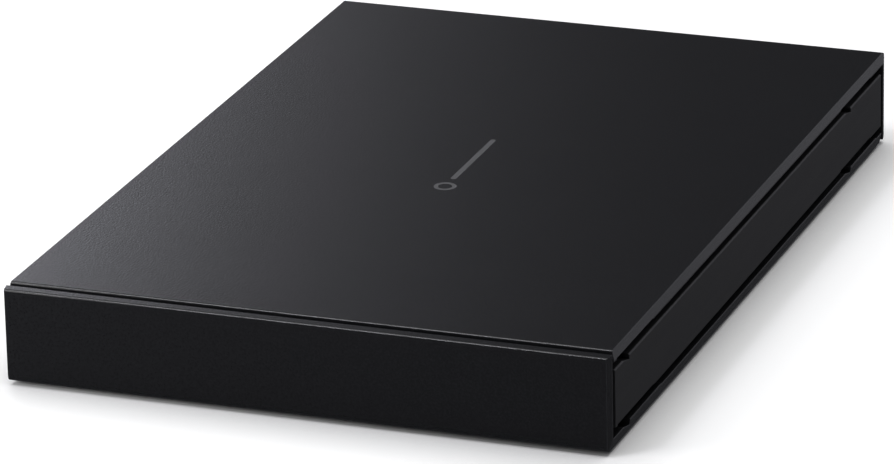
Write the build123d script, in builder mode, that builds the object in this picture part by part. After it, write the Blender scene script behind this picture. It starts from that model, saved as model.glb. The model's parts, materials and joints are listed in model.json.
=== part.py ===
"""Slim portable external hard drive: two L-shaped covers, an inner frame, a USB board and a 2.5-inch drive.

Millimetres. +X is right, +Y points at the end with the USB socket, +Z is up. The origin is under the
middle of the case, at the soles of the rubber feet.
"""

from build123d import *
from math import cos, radians, sin
import os

os.makedirs("parts", exist_ok=True)

# Case
WIDTH = 76.0
DEPTH = 113.5
BODY_HEIGHT = 12.1
FEET_HEIGHT = 0.5
COVER_WALL = 1.4
COVER_STEP = 0.25          # a cover's turned end stops this far short of the other cover's outer face
SIDE_GROOVE = 1.05         # height of the shadow groove above and below the frame's side panels
END_GROOVE = 0.95          # gap between the panels and the covers' turned ends
FREE_GAP = 0.65            # gap between each sheet's free edge and the other cover's turned end
GROOVE_DEPTH = 1.3
FREE_EDGE_ROUND = 0.3      # rounding along each cover's free edges
FOLD_RADIUS = 0.9          # outer bend along each cover's folded edge
SIDE_DRAFT = 0.25          # a cover's side edges lean in by this much,
SIDE_DRAFT_RUN = 1.25      # over this much of its thickness
PANEL_CHAMFER = 0.15
FRAME_WALL = 1.1

# Saw-tooth notches along the side grooves, a raised lip beyond each, and the relief opposite the lip
NOTCH_Y = (-49.2, 40.7)    # upright faces of the notches
NOTCH_DEPTH = 0.65
NOTCH_RUN = 2.4
LIP_HEIGHT = 0.14
LIP_LENGTH = 11.6
LIP_WIDTH = 0.9
RELIEF_DEPTH = 0.14
RELIEF_BEFORE = 4.5
RELIEF_BEYOND = 8.8

# 2.5-inch drive, to the standard form factor
DRIVE_WIDTH = 69.85
DRIVE_LENGTH = 100.35
DRIVE_HEIGHT = 7.0
DRIVE_CORNER = 2.0
DRIVE_FRONT_GAP = 0.55
DRIVE_FLOOR_GAP = 1.1

# Disc stack and actuator
PLATTER_RADIUS = 32.5
PLATTER_BORE = 10.0
PLATTER_THICK = 0.635
PLATTER_PITCH = 1.9
SPINDLE_FROM_FRONT = 35.1
PIVOT_FROM_SPINDLE = (14.0, 36.94)
ARM_LENGTH = 33.5          # pivot to head
PARK_ANGLE = 193.5         # direction of the parked arm, degrees from +X
SWING = 34.0               # from the ramp to the innermost track
COIL_HALF_ANGLE = 20.0
SHAFT_PLAY = 0.03          # radial clearance of both turning shafts

# Plan
BODY_LOW = FEET_HEIGHT
BODY_HIGH = FEET_HEIGHT + BODY_HEIGHT
FLOOR = BODY_LOW + COVER_WALL
CEILING = BODY_HIGH - COVER_WALL
HALF_W = WIDTH / 2
HALF_D = DEPTH / 2
FRAME_HALF_D = HALF_D - COVER_WALL - END_GROOVE
FRAME_HALF_W = HALF_W - GROOVE_DEPTH
FRAME_INNER_W = FRAME_HALF_W - FRAME_WALL
DRIVE_FRONT = FRAME_WALL + DRIVE_FRONT_GAP - FRAME_HALF_D
DRIVE_REAR = DRIVE_FRONT + DRIVE_LENGTH
DRIVE_MID = (DRIVE_FRONT + DRIVE_REAR) / 2
SPINDLE = (0.0, DRIVE_FRONT + SPINDLE_FROM_FRONT)
PIVOT = (SPINDLE[0] + PIVOT_FROM_SPINDLE[0], SPINDLE[1] + PIVOT_FROM_SPINDLE[1])

# Heights in the drive
DRIVE_LOW = FLOOR + DRIVE_FLOOR_GAP
DRIVE_HIGH = DRIVE_LOW + DRIVE_HEIGHT
LID_THICK = 0.4
GASKET_THICK = 0.25
LID_LOW = DRIVE_HIGH - LID_THICK
BASE_HIGH = LID_LOW - GASKET_THICK
PCB_LOW = DRIVE_LOW + 0.15
PCB_THICK = 0.8
PCB_HIGH = PCB_LOW + PCB_THICK
DECK_LOW = DRIVE_LOW + 1.75
DECK = DECK_LOW + 0.75
PLATTER_LOW = DECK + 0.6
PLATTER_UP = PLATTER_LOW + PLATTER_PITCH
CLAMP_LOW = PLATTER_UP + PLATTER_THICK
WELL_FLOOR = DRIVE_LOW + 1.3

# USB board, socket and status lamp at the rear end
BOARD_LOW = FLOOR + 3.0
BOARD_THICK = 0.8
BOARD_HIGH = BOARD_LOW + BOARD_THICK
BOARD_FRONT = DRIVE_REAR + 0.7
BOARD_REAR = FRAME_HALF_D - FRAME_WALL - 0.1
BOARD_HALF_W = 33.5
BOARD_SCREWS = [(-32.0, 51.2), (32.0, 51.2)]
USB_X = -16.0
USB_WIDTH = 12.2
USB_HEIGHT = 2.6
USB_SHEET = 0.25
USB_MOUTH = HALF_D - 0.5
USB_BACK = USB_MOUTH - 6.6
PORT_Z = BOARD_LOW + BOARD_THICK / 2 + 0.25    # the socket sits astride the board's edge
PORT_CLEAR = 0.25
LAMP_X = -27.0
LAMP_Z = BOARD_HIGH + 0.7
LAMP_RADIUS = 0.65
SATA_X = 4.8
SATA_Z = BOARD_HIGH + 1.0
SATA_FRONT = DRIVE_REAR - 3.2
SATA_PITCH = 1.27
SATA_GROUPS = ((-12.4, 7), (7.0, 15))          # centre from SATA_X and number of contacts
TONGUE_THICK = 0.6


def keep(solid, label):
    """Names a finished piece and writes it."""
    solid.label = label
    export_step(solid, "parts/" + label + ".step")


def prism(outline, low, high):
    """A flat sketch on the ground plane raised to stand between two heights."""
    return extrude(outline.moved(Location((0, 0, low))), amount=high - low)


def block(x_low, x_high, y_low, y_high, z_low, z_high):
    """A rectangular block between two corners."""
    with BuildPart() as solid:
        with Locations(((x_low + x_high) / 2, (y_low + y_high) / 2, (z_low + z_high) / 2)):
            Box(x_high - x_low, y_high - y_low, z_high - z_low)
    return solid.part


def sector(centre, r_low, r_high, from_angle, to_angle):
    """A flat ring sector on the ground plane, angles in degrees from +X."""
    with BuildSketch() as outline:
        with BuildLine():
            inner = CenterArc(centre, r_low, from_angle, to_angle - from_angle)
            outer = CenterArc(centre, r_high, from_angle, to_angle - from_angle)
            Line(inner @ 0, outer @ 0)
            Line(inner @ 1, outer @ 1)
        make_face()
    return outline.sketch


def ring(centre, r_low, r_high, z_low, z_high):
    """A round washer or tube standing between two heights."""
    with BuildPart() as solid:
        with BuildSketch(Plane.XY.offset(z_low)):
            with Locations(centre):
                Circle(r_high)
                if r_low > 0:
                    Circle(r_low, mode=Mode.SUBTRACT)
        extrude(amount=z_high - z_low)
    return solid.part


def on_arc(centre, radius, angle):
    """A point at a radius and angle from a centre."""
    return (centre[0] + radius * cos(radians(angle)), centre[1] + radius * sin(radians(angle)))


# ---------------------------------------------------------------- covers
FOOT_RADIUS = 4.0
FOOT_RECESS = 0.4
FOOT_PLACES = [(x, y) for x in (-30.0, 30.0) for y in (-48.0, 48.0)]
HOOK_LENGTH = 8.0
HOOK_THICK = 0.5
HOOK_DROP = 2.6
BARB_OUT = 0.6
BARB_HEIGHT = 0.6
TOP_HOOKS_Y = (-34.0, 0.0, 34.0)
LOW_HOOKS_Y = (-44.0, -17.0, 17.0)
MARK_DEPTH = 0.1
MARK_CENTRE = (0.4, -0.35)
MARK_LENGTH = 19.3
MARK_RING = 1.4
MARK_STROKE = 0.5
MARK_BAR = 15.2
MARK_BAR_WIDTH = 0.7


def cover_profile(side):
    """Side view of an L-shaped cover: side is 1 for the top cover and -1 for the bottom one."""
    outer_z = BODY_HIGH if side > 0 else BODY_LOW
    inner_z = outer_z - side * COVER_WALL
    tip_z = BODY_HIGH + BODY_LOW - outer_z + side * COVER_STEP
    free_y = -side * (HALF_D - COVER_WALL - FREE_GAP)
    fold_y = side * HALF_D
    fold_inner_y = fold_y - side * COVER_WALL
    return [
        (free_y, outer_z), (fold_y, outer_z), (fold_y, tip_z),
        (fold_inner_y, tip_z), (fold_inner_y, inner_z), (free_y, inner_z),
    ]


def side_drafts(side):
    """Cutters that lean a cover's side edges in, along its sheet and up its turned end."""
    outer_z = BODY_HIGH if side > 0 else BODY_LOW
    root_z = outer_z - side * SIDE_DRAFT_RUN
    past_z = outer_z + side
    outer_y = side * HALF_D
    root_y = outer_y - side * SIDE_DRAFT_RUN
    past_y = outer_y + side
    cutters = []
    for x_side in (-1, 1):
        flush = x_side * HALF_W
        inset = flush - x_side * SIDE_DRAFT
        past = flush + x_side
        with BuildPart() as along_sheet:
            with BuildSketch(Plane.XZ):
                with BuildLine():
                    Polyline(
                        (inset, past_z), (inset, outer_z), (flush, root_z), (past, root_z), (past, past_z),
                        close=True,
                    )
                make_face()
            extrude(amount=HALF_D + 1, both=True)
        with BuildPart() as up_the_end:
            with BuildSketch(Plane.XY):
                with BuildLine():
                    Polyline(
                        (inset, past_y), (inset, outer_y), (flush, root_y), (past, root_y), (past, past_y),
                        close=True,
                    )
                make_face()
            extrude(amount=BODY_HIGH + 1)
        cutters += [along_sheet.part, up_the_end.part]
    return cutters


def snap_hooks(side, places):
    """Hooks that run down inside the frame walls, each with a barb for the frame's window."""
    root_z = CEILING if side > 0 else FLOOR
    hooks = []
    for x_side in (-1, 1):
        inner = FRAME_INNER_W - 0.05
        hook_x = sorted((x_side * (inner - HOOK_THICK), x_side * inner))
        barb_x = sorted((x_side * inner, x_side * (inner + BARB_OUT)))
        stem_z = sorted((root_z, root_z - side * HOOK_DROP))
        barb_z = sorted((root_z - side * HOOK_DROP, root_z - side * (HOOK_DROP - BARB_HEIGHT)))
        for y in places:
            hooks.append(block(*hook_x, y - HOOK_LENGTH / 2, y + HOOK_LENGTH / 2, *stem_z))
            hooks.append(block(*barb_x, y - HOOK_LENGTH / 2, y + HOOK_LENGTH / 2, *barb_z))
    return hooks


def hook_windows(side, places):
    """Windows in the frame walls that the barbs snap into."""
    root_z = CEILING if side > 0 else FLOOR
    hook_end = root_z - side * (HOOK_DROP + 0.1)
    barb_back = root_z - side * (HOOK_DROP - BARB_HEIGHT - 0.1)
    z_range = sorted((hook_end, barb_back))
    half = HOOK_LENGTH / 2 + 0.1
    return [
        block(x_side * FRAME_HALF_W - 1.2, x_side * FRAME_HALF_W + 1.2, y - half, y + half, *z_range)
        for x_side in (-1, 1)
        for y in places
    ]


def saw_notches(edge_z):
    """Cutters for a side edge that faces up at edge_z: a ramp into the material, then an upright face."""
    with BuildPart() as cutter:
        for notch_y in NOTCH_Y:
            with BuildSketch(Plane.YZ):
                with BuildLine():
                    Polyline(
                        (notch_y - NOTCH_RUN, edge_z + 1),
                        (notch_y - NOTCH_RUN, edge_z),
                        (notch_y, edge_z - NOTCH_DEPTH),
                        (notch_y, edge_z + 1),
                        close=True,
                    )
                make_face()
            extrude(amount=HALF_W + 1, both=True)
    middle = block(1.0 - FRAME_HALF_W, FRAME_HALF_W - 1.0, -HALF_D, HALF_D, edge_z - 2, edge_z + 2)
    return cutter.part - middle


def edge_reliefs(edge_z, side):
    """Shallow cutters for a side edge that faces the lips across the groove."""
    low, high = sorted((edge_z - side * RELIEF_DEPTH, edge_z + side))
    reliefs = []
    for x_side in (-1, 1):
        x_low, x_high = sorted((x_side * FRAME_HALF_W, x_side * (HALF_W + 1)))
        for y in NOTCH_Y:
            reliefs.append(block(x_low, x_high, y - RELIEF_BEFORE, y + RELIEF_BEYOND, low, high))
    return reliefs


def edge_lips(edge_z):
    """Low raised lips on a side edge, one beyond each notch."""
    low, high = edge_z, edge_z + LIP_HEIGHT
    lips = []
    for x_side in (-1, 1):
        x_low, x_high = sorted((x_side * (HALF_W - LIP_WIDTH), x_side * HALF_W))
        lips += [block(x_low, x_high, y, y + LIP_LENGTH, low, high) for y in NOTCH_Y]
    return lips


def port_outline():
    """The stepped outline of a SuperSpeed Micro-B socket, centred on its origin."""
    half = USB_WIDTH / 2
    tall = USB_HEIGHT / 2
    with BuildSketch() as outline:
        with BuildLine():
            Polyline(
                (-half, tall), (-half, 0.1 - tall), (-half + 0.3, -tall),
                (-1.55, -tall), (-1.25, 0.35 - tall),
                (-0.85, 0.35 - tall), (-0.85, -0.1), (-0.35, -0.1), (-0.35, 0.35 - tall), (0.35, -tall),
                (half - 1.0, -tall), (half, 1.0 - tall), (half, tall),
                close=True,
            )
        make_face()
    return outline.sketch


port_plane = Plane(origin=(USB_X, USB_MOUTH, PORT_Z), x_dir=(1, 0, 0), z_dir=(0, -1, 0))
top_hooks = snap_hooks(1, TOP_HOOKS_Y)
low_hooks = snap_hooks(-1, LOW_HOOKS_Y)
top_drafts = side_drafts(1)
low_drafts = side_drafts(-1)
ceiling_reliefs = edge_reliefs(CEILING, -1)
floor_notches = saw_notches(FLOOR)
floor_lips = edge_lips(FLOOR)

with BuildSketch() as mark_outline:
    low_end = MARK_CENTRE[1] - MARK_LENGTH / 2
    with Locations((MARK_CENTRE[0], low_end + MARK_RING)):
        Circle(MARK_RING)
        Circle(MARK_RING - MARK_STROKE, mode=Mode.SUBTRACT)
    with Locations((MARK_CENTRE[0], low_end + MARK_LENGTH - MARK_BAR / 2)):
        SlotOverall(MARK_BAR, MARK_BAR_WIDTH, rotation=90)
printed_mark = prism(mark_outline.sketch, BODY_HIGH - MARK_DEPTH, BODY_HIGH)

with BuildPart() as top_cover:
    with BuildSketch(Plane.YZ):
        with BuildLine():
            Polyline(*cover_profile(1), close=True)
        make_face()
    extrude(amount=HALF_W, both=True)
    fillet(top_cover.edges().filter_by(Axis.X).group_by(Axis.Y)[-1].sort_by(Axis.Z)[-1], FOLD_RADIUS)
    free_top = top_cover.edges().filter_by(Axis.X).group_by(Axis.Y)[0].sort_by(Axis.Z)[-1]
    tip_rear = top_cover.edges().filter_by(Axis.X).group_by(Axis.Z)[0].sort_by(Axis.Y)[-1]
    fillet([free_top, tip_rear], FREE_EDGE_ROUND)
    add(top_drafts, mode=Mode.SUBTRACT)
    add(ceiling_reliefs, mode=Mode.SUBTRACT)
    with BuildSketch(Plane.XZ.offset(-HALF_D)):
        with Locations((USB_X, PORT_Z)):
            RectangleRounded(USB_WIDTH + 2 * PORT_CLEAR, USB_HEIGHT + 2 * PORT_CLEAR, 0.6)
        with Locations((LAMP_X, LAMP_Z)):
            Circle(LAMP_RADIUS)
    extrude(amount=COVER_WALL, mode=Mode.SUBTRACT)
    add(printed_mark, mode=Mode.SUBTRACT)
    add(top_hooks)

with BuildPart() as bottom_cover:
    with BuildSketch(Plane.YZ):
        with BuildLine():
            Polyline(*cover_profile(-1), close=True)
        make_face()
    extrude(amount=HALF_W, both=True)
    fillet(bottom_cover.edges().filter_by(Axis.X).group_by(Axis.Y)[0].sort_by(Axis.Z)[0], FOLD_RADIUS)
    free_low = bottom_cover.edges().filter_by(Axis.X).group_by(Axis.Y)[-1].sort_by(Axis.Z)[0]
    tip_front = bottom_cover.edges().filter_by(Axis.X).group_by(Axis.Z)[-1].sort_by(Axis.Y)[0]
    fillet([free_low, tip_front], FREE_EDGE_ROUND)
    add(low_drafts, mode=Mode.SUBTRACT)
    add(floor_lips)
    add(floor_notches, mode=Mode.SUBTRACT)
    with BuildSketch(Plane.XY.offset(BODY_LOW)):
        with Locations(*FOOT_PLACES):
            Circle(FOOT_RADIUS)
    extrude(amount=FOOT_RECESS, mode=Mode.SUBTRACT)
    add(low_hooks)

with BuildPart() as rubber_feet:
    with BuildSketch(Plane.XY):
        with Locations(*FOOT_PLACES):
            Circle(FOOT_RADIUS)
    extrude(amount=FEET_HEIGHT + FOOT_RECESS)
    chamfer(rubber_feet.edges().group_by(Axis.Z)[0], 0.2)

# ---------------------------------------------------------------- inner frame
PANEL_LOW = FLOOR + SIDE_GROOVE
PANEL_HIGH = CEILING - SIDE_GROOVE
WINDOW_HALF_W = 30.0
WINDOW_RIM = 0.9
BOARD_SHELF = (29.5, 49.5)     # inner corner of each shelf that carries the board

panel_notches = saw_notches(PANEL_HIGH)
panel_reliefs = edge_reliefs(PANEL_LOW, -1)
barb_windows = hook_windows(1, TOP_HOOKS_Y) + hook_windows(-1, LOW_HOOKS_Y)

with BuildPart() as inner_frame:
    with BuildSketch(Plane.XY.offset(PANEL_LOW)):
        Rectangle(WIDTH, 2 * FRAME_HALF_D)
    extrude(amount=PANEL_HIGH - PANEL_LOW)
    chamfer(inner_frame.edges().filter_by(Axis.Y).group_by(Axis.Z)[-1], PANEL_CHAMFER)
    add(panel_reliefs, mode=Mode.SUBTRACT)
    add(panel_notches, mode=Mode.SUBTRACT)
    with BuildSketch(Plane.XY.offset(FLOOR)):
        Rectangle(2 * FRAME_HALF_W, 2 * FRAME_HALF_D)
    extrude(amount=CEILING - FLOOR)
    with BuildSketch(Plane.XY.offset(FLOOR)):
        Rectangle(2 * FRAME_INNER_W, 2 * (FRAME_HALF_D - FRAME_WALL))
    extrude(amount=CEILING - FLOOR, mode=Mode.SUBTRACT)
    with Locations((0, FRAME_HALF_D - FRAME_WALL / 2, (FLOOR + CEILING) / 2)):
        Box(2 * WINDOW_HALF_W, 2 * FRAME_WALL, CEILING - FLOOR - 2 * WINDOW_RIM, mode=Mode.SUBTRACT)
    add(barb_windows, mode=Mode.SUBTRACT)
    shelf_w = FRAME_INNER_W - BOARD_SHELF[0]
    shelf_d = FRAME_HALF_D - FRAME_WALL - BOARD_SHELF[1]
    with Locations(*[
        (side * (BOARD_SHELF[0] + shelf_w / 2), BOARD_SHELF[1] + shelf_d / 2, (FLOOR + BOARD_LOW) / 2)
        for side in (-1, 1)
    ]):
        Box(shelf_w, shelf_d, BOARD_LOW - FLOOR)
    with BuildSketch(Plane.XY.offset(BOARD_LOW)):
        with Locations(*BOARD_SCREWS):
            Circle(0.6)
    extrude(amount=-2.0, mode=Mode.SUBTRACT)

# ---------------------------------------------------------------- pads and lamp
PAD_LONG = 12.0
damper_pads = [
    block(side * 33.9 - 0.95, side * 33.9 + 0.95, y, y + PAD_LONG, FLOOR, DRIVE_LOW)
    for side in (-1, 1)
    for y in (DRIVE_FRONT + 2, DRIVE_REAR - 2 - PAD_LONG)
] + [
    block(side * 26 - 4, side * 26 + 4, y, y + 8, DRIVE_HIGH, CEILING)
    for side in (-1, 1)
    for y in (DRIVE_FRONT + 6, DRIVE_REAR - 14)
]

with BuildPart() as light_pipe:
    with BuildSketch(Plane.XZ.offset(-(HALF_D - 0.1))):
        with Locations((LAMP_X, LAMP_Z)):
            Circle(LAMP_RADIUS)
    extrude(amount=2.3)
    with BuildSketch(Plane.XZ.offset(-(HALF_D - COVER_WALL - 0.05))):
        with Locations((LAMP_X, LAMP_Z)):
            Circle(LAMP_RADIUS + 0.25)
    extrude(amount=0.5)

# ---------------------------------------------------------------- USB board
with BuildPart() as bridge_board:
    with BuildSketch(Plane.XY.offset(BOARD_LOW)):
        with Locations((0, (BOARD_FRONT + BOARD_REAR) / 2)):
            Rectangle(2 * BOARD_HALF_W, BOARD_REAR - BOARD_FRONT)
        with Locations((USB_X, BOARD_REAR)):
            Rectangle(24.0, 3.0)
        with Locations((USB_X, USB_MOUTH - 3.3)):
            Rectangle(USB_WIDTH + 0.1, 6.8, mode=Mode.SUBTRACT)
        with Locations(*BOARD_SCREWS):
            Circle(0.6, mode=Mode.SUBTRACT)
    extrude(amount=BOARD_THICK)

with BuildPart() as board_screws:
    with BuildSketch(Plane.XY.offset(BOARD_LOW - 1.9)):
        with Locations(*BOARD_SCREWS):
            Circle(0.6)
    extrude(amount=1.9 + BOARD_THICK)
    with BuildSketch(Plane.XY.offset(BOARD_HIGH)):
        with Locations(*BOARD_SCREWS):
            Circle(1.1)
    extrude(amount=0.6)
    with BuildSketch(Plane.XY.offset(BOARD_HIGH + 0.6)):
        with Locations(*BOARD_SCREWS):
            Rectangle(1.5, 0.3)
            Rectangle(0.3, 1.5)
    extrude(amount=-0.3, mode=Mode.SUBTRACT)

# SuperSpeed Micro-B socket: pressed shell, two tongues on one insulator, and their contacts
shell_outline = port_outline()
shell_inner = offset(shell_outline, amount=-USB_SHEET)
USB_TONGUES = ((-3.55, 3.0), (2.7, 5.0))       # centre and width of the two tongues
TONGUE_REACH = 5.2
CONTACT_PITCH = 0.62

with BuildPart() as usb_socket_shell:
    with BuildSketch(port_plane):
        add(shell_outline)
        add(shell_inner, mode=Mode.SUBTRACT)
    extrude(amount=USB_MOUTH - USB_BACK)

with BuildPart() as usb_socket_tongue:
    with BuildSketch(port_plane.offset(USB_MOUTH - USB_BACK - 0.8)):
        add(shell_inner)
    extrude(amount=0.8)
    with BuildSketch(port_plane.offset(0.6)):
        for centre, width in USB_TONGUES:
            with Locations((centre, 0.25)):
                Rectangle(width, 0.5)
    extrude(amount=TONGUE_REACH + 0.1)

usb_socket_contacts = []
for centre, width in USB_TONGUES:
    for index in range(5):
        x = USB_X + centre + (index - 2) * min(CONTACT_PITCH, width / 5.4)
        usb_socket_contacts.append(
            block(x - 0.14, x + 0.14, USB_BACK + 1.0, USB_MOUTH - 0.9, PORT_Z - 0.1, PORT_Z)
        )

# Drive socket on the board, mating with the drive's plug
TONGUE_PLAY = 0.06
SOCKET_REAR = BOARD_FRONT + 1.2


def tongue_width(count):
    """Width of the tongue that carries a number of contacts."""
    return (count + 0.9) * SATA_PITCH


with BuildPart() as drive_socket:
    with Locations((SATA_X, (SATA_FRONT + SOCKET_REAR) / 2, BOARD_HIGH + 1.1)):
        Box(37.0, SOCKET_REAR - SATA_FRONT, 2.2)
    chamfer(drive_socket.edges().filter_by(Axis.Z), 0.4)
    for centre, count in SATA_GROUPS:
        with Locations((SATA_X + centre, (SATA_FRONT + DRIVE_REAR) / 2, SATA_Z)):
            Box(tongue_width(count) + 2 * TONGUE_PLAY, DRIVE_REAR - SATA_FRONT, TONGUE_THICK + 0.5,
                mode=Mode.SUBTRACT)

sata_x = [
    SATA_X + centre + (index - (count - 1) / 2) * SATA_PITCH
    for centre, count in SATA_GROUPS
    for index in range(count)
]
drive_socket_contacts = [
    block(x - 0.2, x + 0.2, SATA_FRONT + 0.4, DRIVE_REAR, SATA_Z - 0.5, SATA_Z - 0.36) for x in sata_x
]

bridge_chip = block(-1.0, 4.0, 50.6, 52.9, BOARD_LOW - 0.8, BOARD_LOW)
board_crystal = block(7.0, 9.5, 50.8, 52.4, BOARD_LOW - 0.7, BOARD_LOW)
status_lamp = block(LAMP_X - 0.8, LAMP_X + 0.8, 53.0, 53.9, BOARD_HIGH, BOARD_HIGH + 0.8)
board_small_parts = [
    block(x, x + 1.0, y, y + 0.5, BOARD_HIGH, BOARD_HIGH + 0.5)
    for x in (-6.0, -3.5, -1.0, 4.0, 7.0, 12.0, 15.0, 19.0, 23.0)
    for y in (50.8, 52.1)
]

# ---------------------------------------------------------------- drive base
WALL_GAP = 0.6                 # from the platters' edge to the casting
CAVITY_REAR = 40.3
PLUG_BAY = (SATA_X - 21.0, SATA_X + 21.0, 41.9)    # sides and front of the bay around the plug
PCB_BOX = (-28.4, 28.4, -3.4, 43.9)
MOUNT_HOLES = [(x, DRIVE_REAR - y) for x in (-30.86, 30.86) for y in (14.0, 90.6)]
MOUNT_HOLE_RADIUS = 1.25
SIDE_HOLE_Z = DRIVE_LOW + 3.0
SIDE_HOLE_DEPTH = 1.4
SHAFT_RADIUS = 1.5
PIVOT_SHAFT_RADIUS = 1.6
POST_INNER = 2.75
POST_OUTER = 3.6
LID_SCREWS = [
    (-31.6, DRIVE_FRONT + 3.3), (31.6, DRIVE_FRONT + 3.3),
    (-31.6, DRIVE_REAR - 3.3), (31.6, DRIVE_REAR - 3.3),
    (-33.2, 14.0), PIVOT,
]


def drive_outline():
    """Plan of the whole drive."""
    with BuildSketch() as outline:
        with Locations((0, DRIVE_MID)):
            RectangleRounded(DRIVE_WIDTH, DRIVE_LENGTH, DRIVE_CORNER)
    return outline.sketch


def plug_bay(z_low, z_high):
    """The space around the drive's plug, open to the rear."""
    return block(PLUG_BAY[0], PLUG_BAY[1], PLUG_BAY[2], DRIVE_REAR + 1, z_low, z_high)


drive_block = prism(drive_outline(), DRIVE_LOW, BASE_HIGH)
base_bay = plug_bay(DRIVE_LOW - 1, BASE_HIGH - 0.6)

with BuildPart() as drive_base:
    add(drive_block)
    with BuildSketch(Plane.XY.offset(BASE_HIGH)):
        with Locations(SPINDLE):
            Circle(PLATTER_RADIUS + WALL_GAP)
        with Locations((1.1, (CAVITY_REAR - 2) / 2)):
            Rectangle(64.2, CAVITY_REAR + 2)
    extrude(amount=DECK - BASE_HIGH, mode=Mode.SUBTRACT)
    with BuildSketch(Plane.XY.offset(DECK)):
        with Locations(SPINDLE):
            Circle(10.6)
            Circle(POST_OUTER, mode=Mode.SUBTRACT)
    extrude(amount=WELL_FLOOR - DECK, mode=Mode.SUBTRACT)
    with BuildSketch(Plane.XY.offset(DECK + 0.4)):
        with Locations(SPINDLE):
            Circle(POST_OUTER)
    extrude(amount=WELL_FLOOR - DECK - 0.4)
    with BuildSketch(Plane.XY.offset(DECK + 0.4)):
        with Locations(SPINDLE):
            Circle(POST_INNER)
    extrude(amount=WELL_FLOOR - DECK - 0.4, mode=Mode.SUBTRACT)
    with BuildSketch(Plane.XY.offset(WELL_FLOOR)):
        with Locations(SPINDLE):
            Circle(SHAFT_RADIUS)
    extrude(amount=-0.8, mode=Mode.SUBTRACT)
    with BuildSketch(Plane.XY.offset(DECK)):
        with Locations(PIVOT):
            Circle(PIVOT_SHAFT_RADIUS)
    extrude(amount=DECK_LOW - DECK, mode=Mode.SUBTRACT)
    with Locations((
        (PCB_BOX[0] + PCB_BOX[1]) / 2,
        (PCB_BOX[2] + PCB_BOX[3]) / 2,
        (DRIVE_LOW + DECK_LOW) / 2,
    )):
        Box(
            PCB_BOX[1] - PCB_BOX[0] + 0.6,
            PCB_BOX[3] - PCB_BOX[2] + 0.6,
            DECK_LOW - DRIVE_LOW,
            mode=Mode.SUBTRACT,
        )
    add(base_bay, mode=Mode.SUBTRACT)
    with BuildSketch(Plane.XY.offset(DRIVE_LOW)):
        with Locations(*MOUNT_HOLES):
            Circle(MOUNT_HOLE_RADIUS)
    extrude(amount=2.0, mode=Mode.SUBTRACT)
    for side in (-1, 1):
        with BuildSketch(Plane.YZ.offset(side * DRIVE_WIDTH / 2)):
            with Locations(*[(y, SIDE_HOLE_Z) for x, y in MOUNT_HOLES[:2]]):
                Circle(MOUNT_HOLE_RADIUS)
        extrude(amount=-side * SIDE_HOLE_DEPTH, mode=Mode.SUBTRACT)
    with BuildSketch(Plane.XY.offset(BASE_HIGH)):
        with Locations(*LID_SCREWS[:-1]):
            Circle(0.6)
    extrude(amount=-2.5, mode=Mode.SUBTRACT)

with BuildPart() as lid_gasket:
    with BuildSketch(Plane.XY.offset(BASE_HIGH)):
        with Locations((0, (DRIVE_FRONT + CAVITY_REAR + 1.1) / 2)):
            Rectangle(68.6, CAVITY_REAR + 0.3 - DRIVE_FRONT)
        with Locations(SPINDLE):
            Circle(PLATTER_RADIUS + WALL_GAP, mode=Mode.SUBTRACT)
        with Locations((1.1, (CAVITY_REAR - 2) / 2)):
            Rectangle(64.2, CAVITY_REAR + 2, mode=Mode.SUBTRACT)
        with Locations(*LID_SCREWS[:2], LID_SCREWS[4]):
            Circle(0.7, mode=Mode.SUBTRACT)
    extrude(amount=GASKET_THICK)

with BuildPart() as drive_lid:
    with BuildSketch(Plane.XY.offset(LID_LOW)):
        with Locations((0, DRIVE_MID)):
            RectangleRounded(DRIVE_WIDTH, DRIVE_LENGTH, DRIVE_CORNER)
        with Locations(*LID_SCREWS):
            Circle(0.7, mode=Mode.SUBTRACT)
        with Locations((-20.0, 30.0)):
            Circle(0.8, mode=Mode.SUBTRACT)
    extrude(amount=LID_THICK)
    with BuildSketch(Plane.XY.offset(DRIVE_HIGH)):
        with Locations(*LID_SCREWS):
            Circle(1.3)
    extrude(amount=-0.28, mode=Mode.SUBTRACT)

with BuildPart() as lid_screws:
    with BuildSketch(Plane.XY.offset(DRIVE_HIGH)):
        with Locations(*LID_SCREWS):
            Circle(1.25)
    extrude(amount=-0.28)
    with BuildSketch(Plane.XY.offset(DRIVE_HIGH - 0.28)):
        with Locations(*LID_SCREWS[:-1]):
            Circle(0.6)
    extrude(amount=-2.2)
    with BuildSketch(Plane.XY.offset(DRIVE_HIGH - 0.28)):
        with Locations(PIVOT):
            Circle(0.6)
    extrude(amount=-1.3)

# ---------------------------------------------------------------- spindle
HUB_TOP = CLAMP_LOW
HUB_LOW = WELL_FLOOR + 0.4
MAGNET_INNER = 8.7
HUB_SKIRT_INNER = 9.3
HUB_RADIUS = PLATTER_BORE - 0.02
FLANGE_RADIUS = 12.0
STATOR_LOW = DECK - 0.35
STATOR_HIGH = DECK + 0.35
TEETH = 9
CLAMP_SCREW_CIRCLE = 6.4

spindle_shaft = ring(SPINDLE, 0, SHAFT_RADIUS, WELL_FLOOR - 0.8, HUB_TOP - 0.2)

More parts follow.
